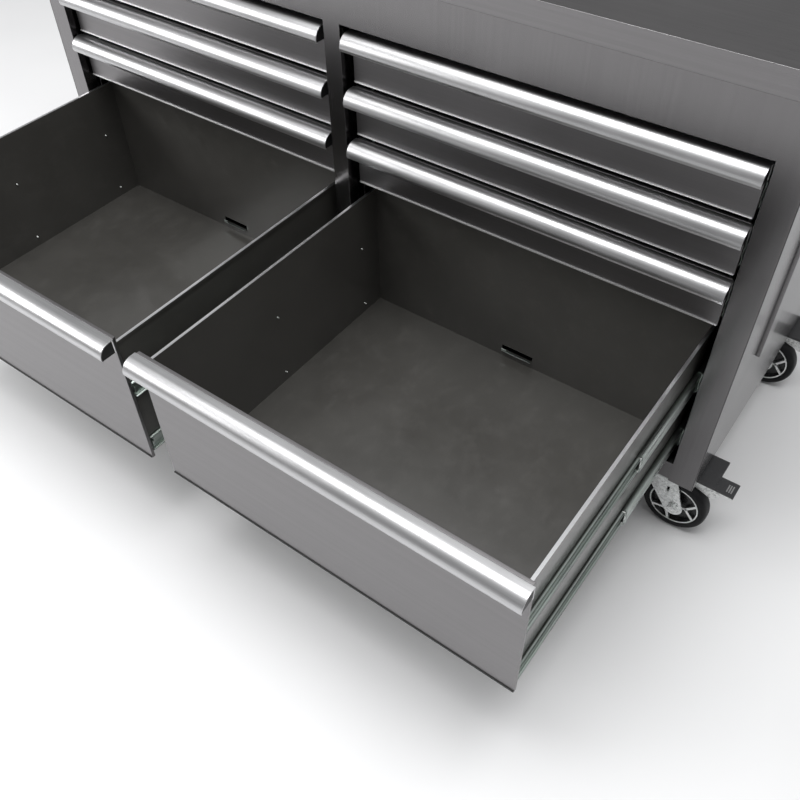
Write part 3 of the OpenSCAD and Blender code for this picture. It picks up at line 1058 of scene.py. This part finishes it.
class TOOLCHEST_OT_caster_plates(ChestOperator, bpy.types.Operator):
    """Finish the caster plates and bolt them to the cabinet's floor"""

    bl_idname = "toolchest.caster_plates"
    bl_label = "Caster plates"

    def build(self, chest):
        zinc = cast_zinc("plate_zinc", (0.66, 0.68, 0.67))
        mesh = softened("caster_plates", 0.0008)
        add_piece("plates_pressed", mesh, zinc, "cabinet", ["caster_plates"])
        part = loose_part("plate_bolt", hex_bolt(0.0068, 0.0030, 0.0012))
        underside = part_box("caster_plates")[0].z
        crown_radius, reach_x, reach_y = 0.031, 0.040, 0.032
        points = []
        for corner in CORNERS:
            low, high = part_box("caster_fork_" + corner)
            x = low.x + crown_radius
            y = (low.y + high.y) / 2
            points += [
                ((x + sx * reach_x, y + sy * reach_y, underside), (0.0, 0.0, -1.0))
                for sx in (-1, 1)
                for sy in (-1, 1)
            ]
        mesh = instancer().grow(points, Part=part, Size=1.0, Finish=zinc)
        add_piece("plate_bolts", mesh, zinc, "cabinet")
        bpy.data.objects.remove(part)


class TOOLCHEST_OT_forks(ChestOperator, bpy.types.Operator):
    """Round the pressed forks and give them a crystalline zinc plate"""

    bl_idname = "toolchest.forks"
    bl_label = "Caster forks"

    def build(self, chest):
        zinc = cast_zinc("fork_zinc", (0.88, 0.90, 0.89))
        part = loose_part("washer_nut", hex_bolt(0.0096, 0.0064, 0.0016))
        setter = instancer()
        for corner in CORNERS:
            node = "caster_fork_" + corner
            body = corner + "_swivel"
            add_piece(node + "_pressed", softened(node, 0.0009), zinc, body, [node])
            centre = axle(corner)
            points = [
                ((centre.x, centre.y + facing * chest.casters.leg_reach, centre.z), (0.0, facing, 0.0))
                for facing in (-1.0, 1.0)
            ]
            mesh = setter.grow(points, Part=part, Size=1.0, Finish=zinc)
            add_piece(corner + "_axle_washers", mesh, zinc, body)
        bpy.data.objects.remove(part)


# Half of the wheel centre's section as (radius, y), from the bore out to the tyre
CENTRE_HALF = [
    (0.0052, -0.0172), (0.0105, -0.0172), (0.0125, -0.0160), (0.0130, -0.0080), (0.0160, -0.0060),
    (0.0440, -0.0060), (0.0465, -0.0100), (0.0475, -0.0128), (0.0492, -0.0132),
]

# Distance from the wheel's middle to the bright ring on its face
RIM_FACE = 0.0134


def tyre_half(radius):
    """Half of the tyre's section as (radius, y), from the wheel centre out to the tread."""
    return [
        (0.0490, -0.0130), (0.0500, -0.0148), (0.0560, -0.0157), (0.0595, -0.0148), (0.0620, -0.0120),
        (0.0632, -0.0080), (radius, -0.0030),
    ]


def rim_section(y):
    """Section of the bright ring at y."""
    inner, outer, half = 0.0458, 0.0484, 0.0006
    return [(inner, y - half), (outer, y - half), (outer, y + half), (inner, y + half)]


class TOOLCHEST_OT_wheels(ChestOperator, bpy.types.Operator):
    """Turn the tyres and centres, and set the bright forked spokes"""

    bl_idname = "toolchest.wheels"
    bl_label = "Caster wheels"

    def build(self, chest):
        casters = chest.casters
        rubber = moulded_black("tyre_rubber", casters.tyre, 0.42, gloss=0.16)
        plastic = moulded_black("wheel_centre", (0.010, 0.010, 0.011), 0.25, 700.0)
        bright = zinc_plate("spoke_metal", (0.82, 0.82, 0.82), 0, 0.25)
        hub, split, rim, face = 0.0125, 0.0260, 0.0480, 0.0128
        spoke = forked_spoke(hub, split, rim, casters.spoke_width, -face, face)
        part = loose_part("spoke", spoke)
        growth = spoker()
        for corner in CORNERS:
            node = "caster_wheel_" + corner
            body = corner + "_wheel"
            low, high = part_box(node)
            centre = axle(corner)
            tread = turned(mirrored(tyre_half((high.z - low.z) / 2)), centre, 96)
            mesh = joined(corner + "_tyre", [tread])
            add_piece(corner + "_tyre", mesh, rubber, body, [node])
            disc = turned(mirrored(CENTRE_HALF), centre, 72)
            mesh = joined(corner + "_wheel_centre", [disc])
            add_piece(corner + "_wheel_centre", mesh, plastic, body)
            rims = [turned(rim_section(y), centre, 72) for y in (-RIM_FACE, RIM_FACE)]
            points = [(tuple(centre), (0.0, 0.0, 1.0))]
            grown = growth.grow(points, Spoke=part, Spokes=casters.spokes, Finish=bright)
            spokes = bmesh.new()
            spokes.from_mesh(grown)
            mesh = joined(corner + "_spokes", rims + [spokes])
            add_piece(corner + "_spokes", mesh, bright, body)
        bpy.data.objects.remove(part)


class TOOLCHEST_OT_pedals(ChestOperator, bpy.types.Operator):
    """Coat the brake levers and mould the ribbed pad on each tab"""

    bl_idname = "toolchest.pedals"
    bl_label = "Brake pedals"

    def build(self, chest):
        casters = chest.casters
        grey = moulded_black("pedal_pad", (0.30, 0.30, 0.30), 0.45)
        coated = 0.0062
        first_rib, rib_width, near, far = 0.0175, 0.0025, 0.0085, 0.0275
        tab_drop, sunk, proud = 0.0020, 0.0006, 0.0009
        for corner in CORNERS:
            node = "caster_pedal_" + corner
            body = corner + "_brake"
            low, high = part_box(node)
            lever = brake_lever(
                node + "_coat", (0.040, 0.040, 0.042), (0.84, 0.85, 0.84), high.z - coated
            )
            add_piece(node + "_lever", softened(node, 0.0009), lever, body, [node])
            top = high.z - tab_drop
            ribs = []
            for i in range(casters.ribs):
                x = high.x - first_rib + i * casters.rib_pitch
                ribs.append(block(
                    (x, low.y + near, top - sunk), (x + rib_width, low.y + far, top + proud), 0.0004
                ))
            mesh = joined(corner + "_pedal_ribs", ribs)
            add_piece(corner + "_pedal_ribs", mesh, grey, body)


class TOOLCHEST_OT_studio(ChestOperator, bpy.types.Operator):
    """Lay the pale floor, hang the soft lights and set up the camera"""

    bl_idname = "toolchest.studio"
    bl_label = "Studio"

    def build(self, chest):
        stage = chest.stage
        scene = bpy.context.scene
        floor_finish = Finish("studio_floor", Specular_IOR_Level=0.3)
        speck = floor_finish.spread(floor_finish.noise((3.0, 3.0, 3.0), 4.0, 0.5), 0.3, 0.7)
        floor_finish.feed(
            Base_Color=floor_finish.mix(speck, shade(stage.floor, 0.985), shade(stage.floor, 1.0)),
            Roughness=0.55 + 0.1 * speck,
        )
        bm = bmesh.new()
        bmesh.ops.create_grid(bm, x_segments=1, y_segments=1, size=14.0)
        mesh = bpy.data.meshes.new("studio_floor")
        bm.to_mesh(mesh)
        bm.free()
        floor = bpy.data.objects.new("studio_floor", mesh)
        mesh.materials.append(floor_finish.material)
        scene.collection.objects.link(floor)

        self.softbox("overhead", (0.2, -0.6, 3.4), (0.0, -0.2, 0.2), (3.4, 1.5), stage.overhead)
        self.softbox("left_bank", (-3.2, -2.4, 2.2), (-0.2, -0.6, 0.2), (2.2, 1.6), stage.overhead * 0.75)
        self.air((0.34, 0.34, 0.34, 1), (0.85, 0.86, 0.87, 1), 0.62)
        scene.view_settings.view_transform = "Standard"
        self.camera(stage)

    def air(self, low_colour, high_colour, strength):
        """World that goes from one colour below to the other above."""
        world = bpy.data.worlds.new("studio_air")
        world.use_nodes = True
        tree = world.node_tree
        place = tree.nodes.new("ShaderNodeTexCoord")
        split = tree.nodes.new("ShaderNodeSeparateXYZ")
        ramp = tree.nodes.new("ShaderNodeValToRGB")
        tree.links.new(place.outputs["Generated"], split.inputs[0])
        tree.links.new(split.outputs["Z"], ramp.inputs[0])
        tree.links.new(ramp.outputs[0], tree.nodes["Background"].inputs[0])
        low_stop, high_stop = ramp.color_ramp.elements
        low_stop.position, low_stop.color = 0.15, low_colour
        high_stop.position, high_stop.color = 0.95, high_colour
        tree.nodes["Background"].inputs[1].default_value = strength
        bpy.context.scene.world = world

    def camera(self, stage):
        """Camera at the eye, turned left, tilted down and rolled."""
        camera = bpy.data.objects.new("camera", bpy.data.cameras.new("camera"))
        camera.data.lens = stage.lens
        camera.data.sensor_width = 36.0
        camera.data.clip_end = 60.0
        left, down, roll = stage.turn
        camera.matrix_world = (
            Matrix.Translation(stage.eye)
            @ Matrix.Rotation(left, 4, "Z")
            @ Matrix.Rotation(math.radians(90) - down, 4, "X")
            @ Matrix.Rotation(roll, 4, "Z")
        )
        bpy.context.scene.collection.objects.link(camera)
        bpy.context.scene.camera = camera

    def softbox(self, name, place, target, size, power):
        """Rectangular light at place that faces target."""
        data = bpy.data.lights.new(name, "AREA")
        data.shape = "RECTANGLE"
        data.size, data.size_y = size
        data.energy = power
        light = bpy.data.objects.new(name, data)
        light.location = place
        light.rotation_euler = (Vector(target) - Vector(place)).to_track_quat("-Z", "Y").to_euler()
        bpy.context.scene.collection.objects.link(light)


STEPS = (
    TOOLCHEST_OT_shell,
    TOOLCHEST_OT_drawer_boxes,
    TOOLCHEST_OT_drawer_faces,
    TOOLCHEST_OT_handles,
    TOOLCHEST_OT_slides,
    TOOLCHEST_OT_balls,
    TOOLCHEST_OT_screws,
    TOOLCHEST_OT_caster_plates,
    TOOLCHEST_OT_forks,
    TOOLCHEST_OT_wheels,
    TOOLCHEST_OT_pedals,
    TOOLCHEST_OT_studio,
)


class TOOLCHEST_PT_panel(bpy.types.Panel):
    """Lists the steps and sizes of the tool chest"""

    bl_idname = "TOOLCHEST_PT_panel"
    bl_label = "Tool chest"
    bl_space_type = "VIEW_3D"
    bl_region_type = "UI"
    bl_category = "Tool chest"

    def draw(self, context):
        layout = self.layout
        settings = context.scene.tool_chest
        for group in ("sheet", "drawers", "slides", "casters", "stage"):
            values = getattr(settings, group)
            box = layout.box()
            for key in values.bl_rna.properties.keys():
                if key not in {"rna_type", "name"}:
                    box.prop(values, key)
        for step in STEPS:
            layout.operator(step.bl_idname)


class ToolChestSettings(bpy.types.PropertyGroup):
    sheet: bpy.props.PointerProperty(
        name="Sheet metal", description="Folded steel", type=SheetMetalSettings
    )
    drawers: bpy.props.PointerProperty(name="Drawers", description="Drawer boxes", type=DrawerSettings)
    slides: bpy.props.PointerProperty(name="Slides", description="Ball slides", type=SlideSettings)
    casters: bpy.props.PointerProperty(name="Casters", description="Casters", type=CasterSettings)
    stage: bpy.props.PointerProperty(
        name="Studio", description="Floor, lights and camera", type=StageSettings
    )


CLASSES = (
    SheetMetalSettings,
    DrawerSettings,
    SlideSettings,
    CasterSettings,
    StageSettings,
    ToolChestSettings,
    *STEPS,
    TOOLCHEST_PT_panel,
)


def register():
    for cls in CLASSES:
        bpy.utils.register_class(cls)
    bpy.types.Scene.tool_chest = bpy.props.PointerProperty(type=ToolChestSettings)


def unregister():
    del bpy.types.Scene.tool_chest
    for cls in reversed(CLASSES):
        bpy.utils.unregister_class(cls)


def main():
    register()
    for step in STEPS:
        group, name = step.bl_idname.split(".")
        getattr(getattr(bpy.ops, group), name)()


if __name__ == "__main__":
    main()
